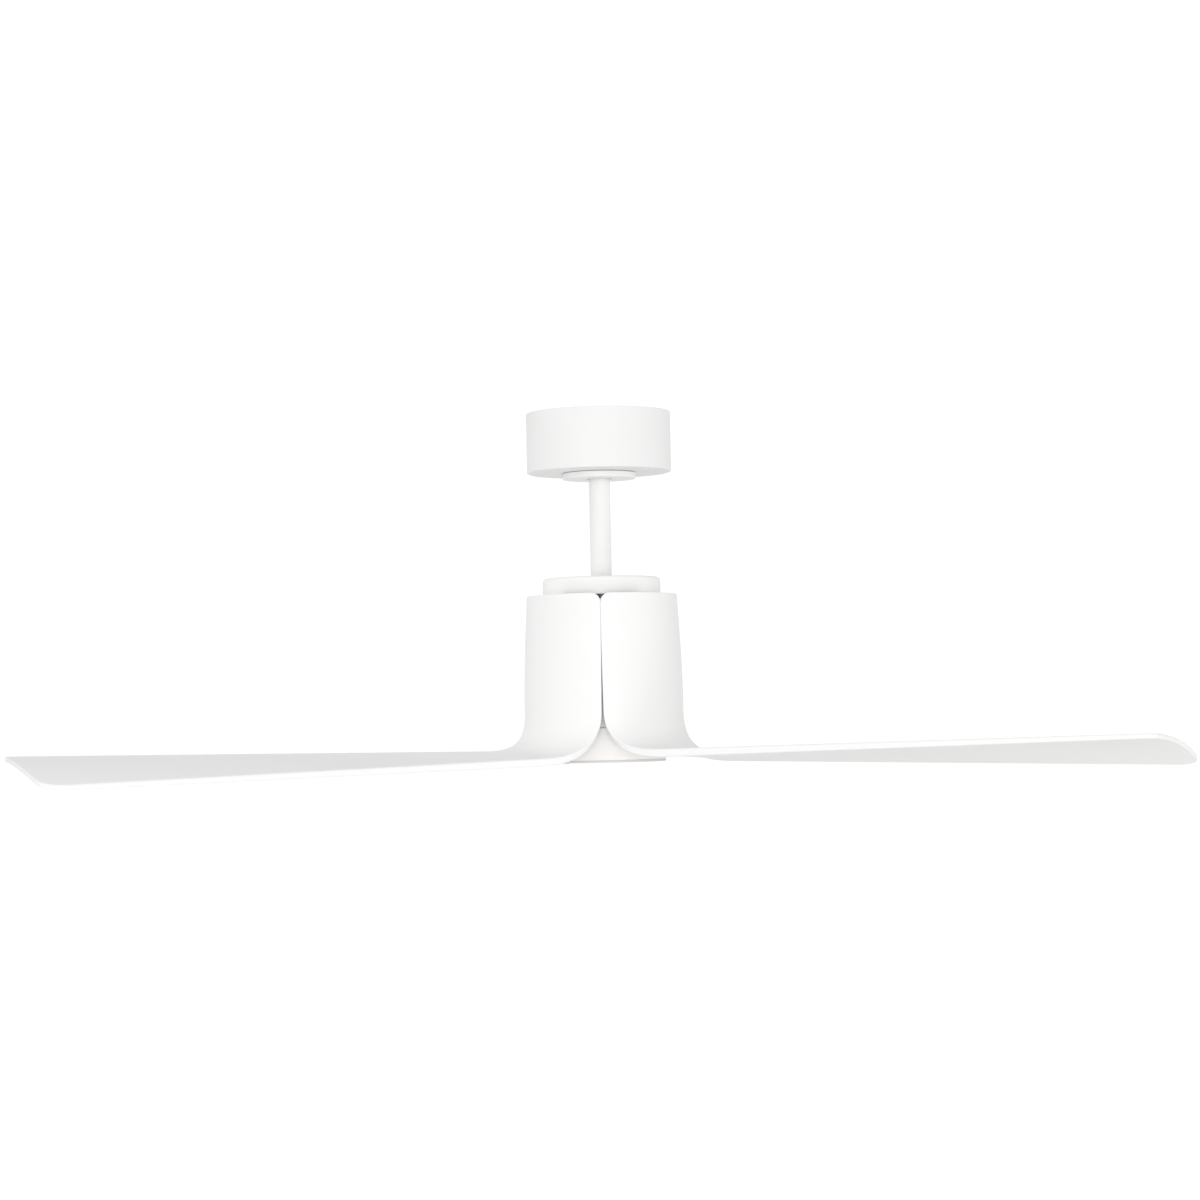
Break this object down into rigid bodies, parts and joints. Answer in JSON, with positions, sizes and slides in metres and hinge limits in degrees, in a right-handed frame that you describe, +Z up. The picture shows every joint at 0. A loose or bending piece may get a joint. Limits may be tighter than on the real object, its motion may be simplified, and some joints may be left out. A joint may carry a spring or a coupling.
{
  "type": "ceiling fan",
  "caption": "Slim white ceiling fan on a short downrod: a drum motor wrapped by blade roots that flare into long twisted blades, with a round canopy and a flush bottom cover.",
  "frame": {"origin": "centre of the ceiling face of the hanger bracket, in the plane of the ceiling", "axes": "+Z up into the ceiling, along the fan's turning axis; -Y towards the viewer of the reference picture; +X to the viewer's right; one blade points along +Y"},
  "size_m": [1.1782, 1.0292, 0.3899],
  "materials": {
    "painted_white": "satin white powder coat",
    "blade_white": "satin moulded white",
    "cover_white": "satin moulded white",
    "zinc_steel": "zinc plated, satin",
    "bearing_steel": "ground and polished",
    "cast_alloy": "die cast, satin",
    "laminated_steel": "stacked sheets, matte",
    "copper_wire": "enamelled copper",
    "magnet_black": "matte ferrite",
    "board_green": "solder mask",
    "block_plastic": "moulded, matte",
    "case_plastic": "fine textured",
    "ball_nylon": "moulded nylon",
    "lead_white": "soft insulation",
    "brass_bare": "machined"
  },
  "bodies": {
    "ceiling": {"hanger_bracket": "zinc_steel", "canopy": "painted_white", "canopy_ring": "painted_white", "canopy_screws": "zinc_steel", "terminal_block": "block_plastic", "terminal_screws": "brass_bare", "receiver_case": "case_plastic", "receiver_board": "board_green", "supply_leads": "lead_white"},
    "ball": {"hanger_ball": "ball_nylon"},
    "rod": {"downrod": "painted_white", "ball_pin": "zinc_steel", "rod_lead": "lead_white", "lead_connector": "block_plastic"},
    "motor": {"shaft_coupling": "zinc_steel", "coupling_pin": "zinc_steel", "pin_clip": "zinc_steel", "shaft_set_screws": "zinc_steel", "top_cap": "painted_white", "cap_screws": "zinc_steel", "motor_shaft": "bearing_steel", "bearing_inner_rings": "bearing_steel", "stator_hub": "cast_alloy", "stator_core": "laminated_steel", "stator_windings": "copper_wire", "shaft_nut": "zinc_steel", "driver_housing": "cast_alloy", "driver_lid": "cast_alloy", "driver_board": "board_green", "retaining_ring": "zinc_steel", "motor_lead": "lead_white", "lead_joint": "block_plastic"},
    "rotor": {"rotor_upper_shell": "painted_white", "rotor_lower_shell": "painted_white", "shell_screws": "zinc_steel", "flux_ring": "laminated_steel", "rotor_magnets": "magnet_black", "bearing_outer_rings": "bearing_steel", "blade_1": "blade_white", "blade_2": "blade_white", "blade_3": "blade_white", "blade_screws_upper": "zinc_steel", "blade_screws_lower": "zinc_steel", "bottom_cover": "cover_white"},
    "bearing_train": {"bearing_balls": "bearing_steel", "bearing_cages": "brass_bare"}
  },
  "joints": [
    {"name": "ball_tilt", "type": "hinge", "parent": "ceiling", "child": "ball", "pos_m": [0, 0, -0.038], "axis": [1, 0, 0], "range_deg": [-2.5, 2.5]},
    {"name": "rod_tilt", "type": "hinge", "parent": "ball", "child": "rod", "pos_m": [0, 0, -0.038], "axis": [0, 1, 0], "range_deg": [-2.5, 2.5]},
    {"name": "motor_rock", "type": "hinge", "parent": "rod", "child": "motor", "pos_m": [0, 0, -0.1905], "axis": [0, 1, 0], "range_deg": [-1.5, 1.5]},
    {"name": "fan_spin", "type": "hinge", "parent": "motor", "child": "rotor", "pos_m": [0, 0, -0.246], "axis": [0, 0, 1], "continuous": true},
    {"name": "bearing_roll", "type": "hinge", "parent": "motor", "child": "bearing_train", "pos_m": [0, 0, -0.246], "axis": [0, 0, 1], "continuous": true}
  ],
  "couplings": [
    {"joint": "bearing_roll", "follows": "fan_spin", "ratio": 0.5915}
  ]
}
